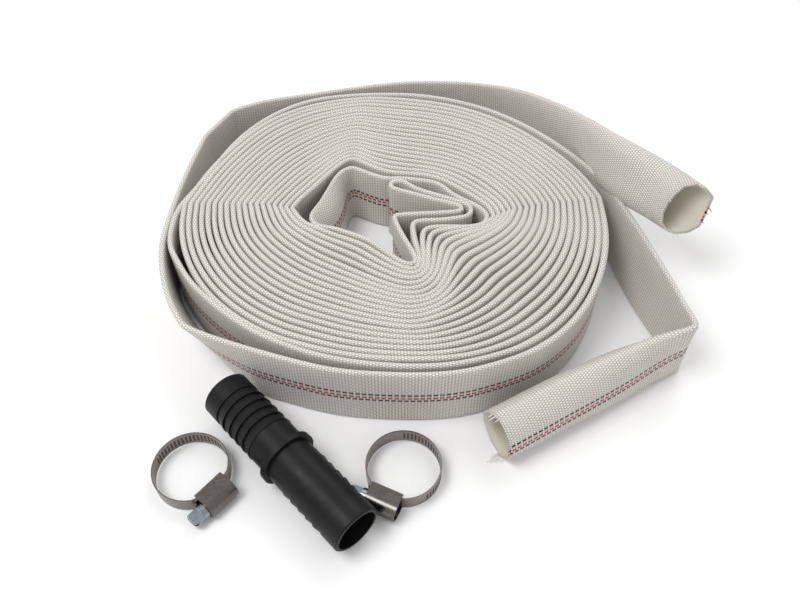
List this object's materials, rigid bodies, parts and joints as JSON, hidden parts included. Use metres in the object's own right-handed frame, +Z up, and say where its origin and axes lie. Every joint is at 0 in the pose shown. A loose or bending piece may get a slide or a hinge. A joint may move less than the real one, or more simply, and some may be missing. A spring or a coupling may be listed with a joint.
{
  "type": "rolled fire hose",
  "caption": "Double-rolled lay-flat woven hose with a folded core, two free open ends, a barbed black joining coupling and two worm-drive clamps lying beside it.",
  "frame": {"origin": "middle of the roll, on the surface that the hose lies on", "axes": "+Z up out of that surface, -Y towards the side where the coupling and clamps lie, +X towards the two free ends of the hose"},
  "size_m": [0.3144, 0.3332, 0.0742],
  "materials": {
    "hose_jacket": "off-white woven polyester jacket with dashed black and red marker yarns",
    "hose_liner": "matt cream rubber lining",
    "coupling_plastic": "satin black moulded plastic",
    "band_steel": "brushed stainless strip",
    "housing_steel": "pressed stainless shell, worn shiny on its edges",
    "screw_zinc": "bright bluish zinc plate"
  },
  "bodies": {
    "hose": {"hose_coil": "hose_jacket", "hose_core_fold": "hose_jacket", "hose_outer_turn_back": "hose_jacket", "hose_outer_turn_front": "hose_jacket", "hose_second_turn": "hose_jacket", "hose_lower_tail": "hose_jacket", "hose_lower_end_jacket": "hose_jacket", "hose_lower_end_liner": "hose_liner", "hose_upper_tail": "hose_jacket", "hose_upper_end_jacket": "hose_jacket", "hose_upper_end_liner": "hose_liner"},
    "coupling": {"coupling": "coupling_plastic"},
    "clamp_left": {"clamp_left_band": "band_steel", "clamp_left_housing": "housing_steel", "clamp_left_saddle": "housing_steel"},
    "clamp_left_screw": {"clamp_left_screw": "screw_zinc"},
    "clamp_right": {"clamp_right_band": "band_steel", "clamp_right_housing": "housing_steel", "clamp_right_saddle": "housing_steel"},
    "clamp_right_screw": {"clamp_right_screw": "screw_zinc"}
  },
  "joints": [
    {"name": "coupling_lift", "type": "slide", "parent": "hose", "child": "coupling", "axis": [0, 0, 1], "range_m": [0, 0.15]},
    {"name": "clamp_left_lift", "type": "slide", "parent": "hose", "child": "clamp_left", "axis": [0, 0, 1], "range_m": [0, 0.1]},
    {"name": "clamp_right_lift", "type": "slide", "parent": "hose", "child": "clamp_right", "axis": [0.2485, 0.235, 0.9397], "range_m": [0, 0.1]},
    {"name": "clamp_left_screw_turn", "type": "hinge", "parent": "clamp_left", "child": "clamp_left_screw", "pos_m": [-0.08381, -0.16516, 0.0058], "axis": [0.6428, 0.766, 0], "continuous": true},
    {"name": "clamp_right_screw_turn", "type": "hinge", "parent": "clamp_right", "child": "clamp_right_screw", "pos_m": [-0.00157, -0.1705, 0.0058], "axis": [0.9063, -0.4226, 0], "continuous": true}
  ]
}
